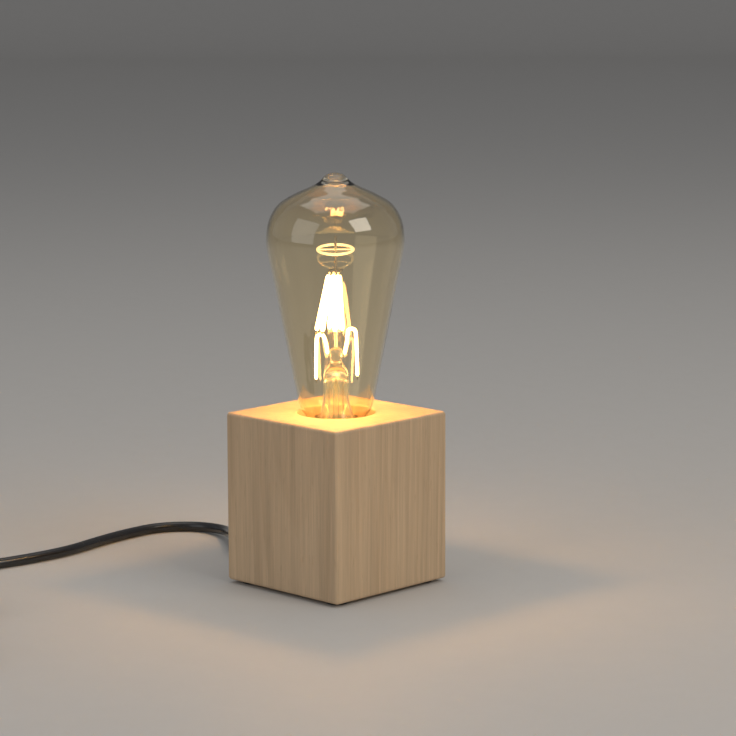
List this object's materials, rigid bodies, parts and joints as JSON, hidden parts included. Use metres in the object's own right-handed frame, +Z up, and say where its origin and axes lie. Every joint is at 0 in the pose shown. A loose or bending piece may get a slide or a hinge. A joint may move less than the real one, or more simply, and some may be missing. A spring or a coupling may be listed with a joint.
{
  "type": "smart light bulb in cube table lamp base",
  "caption": "Filament smart bulb with screw cap standing in the lampholder of a wooden cube lamp base with supply cord and flat plug.",
  "frame": {"origin": "on the floor at the centre of the cube's underside, between the feet", "axes": "+Z up along the bulb's axis, -X towards the face where the supply cord leaves, +X and -Y the two faces seen from the front corner"},
  "size_m": [0.18, 0.2744, 0.1932],
  "materials": {
    "wood": "pale lacquered beech",
    "plate": "satin",
    "screw_steel": "zinc plated",
    "feet": "matte",
    "bracket_steel": "zinc plated",
    "holder_plastic": "satin",
    "holder_ceramic": "unglazed",
    "brass": "plain",
    "cord_black": "smooth flexible sheath",
    "gland_black": "matte",
    "wire_brown": "smooth",
    "wire_blue": "smooth",
    "plug_black": "satin moulded",
    "pin_metal": "nickel plated",
    "cap_metal": "nickel brass",
    "cap_black": "fused black insulator",
    "collar_gold": "gold coloured",
    "board": "white circuit board",
    "component_black": "moulded",
    "component_metal": "tinned shield",
    "capacitor_sleeve": "sleeved",
    "resistor_body": "lacquered",
    "bulb_glass": "clear amber",
    "stem_glass": "clear",
    "lead_wire": "nickel",
    "filament_glow": "phosphor coated, lit"
  },
  "bodies": {
    "base": {"wooden_block": "wood", "base_plate": "plate", "base_plate_screws": "screw_steel", "bracket_screws": "screw_steel", "cord_clamp_screws": "screw_steel", "terminal_screws": "screw_steel", "lock_nut": "screw_steel", "nipple_washer": "screw_steel", "rubber_feet": "feet", "holder_bracket": "bracket_steel", "threaded_nipple": "bracket_steel", "contact_spring": "bracket_steel", "holder_shell": "holder_plastic", "holder_skirt_ring": "holder_plastic", "cord_clamp": "holder_plastic", "holder_core": "holder_ceramic", "holder_thread_sleeve": "brass", "terminal_live": "brass", "terminal_neutral": "brass", "cord_inner": "cord_black", "cord_lead": "cord_black", "cord_coil": "cord_black", "cord_tail": "cord_black", "cord_gland": "gland_black", "plug_strain_relief": "gland_black", "cord_tie": "gland_black", "wire_live": "wire_brown", "wire_neutral": "wire_blue", "plug_body": "plug_black", "plug_pin_sleeves": "plug_black", "plug_pins": "pin_metal"},
    "bulb": {"cap_shell": "cap_metal", "cap_contact": "cap_metal", "cap_insulator": "cap_black", "neck_collar": "collar_gold", "driver_board": "board", "bridge_rectifier": "component_black", "inductor": "component_black", "radio_module": "component_metal", "radio_antenna": "component_metal", "smoothing_capacitor": "capacitor_sleeve", "fusible_resistor": "resistor_body", "glass_envelope": "bulb_glass", "glass_stem": "stem_glass", "exhaust_tube": "stem_glass", "stem_lead_left": "lead_wire", "stem_lead_right": "lead_wire", "support_rod": "lead_wire", "filament_hub": "lead_wire", "wire_hoop": "lead_wire", "filament_1": "filament_glow", "filament_2": "filament_glow", "filament_3": "filament_glow", "filament_4": "filament_glow", "filament_5": "filament_glow", "filament_6": "filament_glow", "filament_loop_left": "filament_glow", "filament_loop_right": "filament_glow"},
    "contact": {"contact_plunger": "brass"}
  },
  "joints": [
    {"name": "bulb_lift", "type": "slide", "parent": "base", "child": "bulb", "axis": [0, 0, 1], "range_m": [0, 0.045]},
    {"name": "contact_press", "type": "slide", "parent": "base", "child": "contact", "axis": [0, 0, 1], "range_m": [-0.0012, 0], "stiffness_N_per_m": 1500, "deforming": ["contact_spring"]}
  ]
}
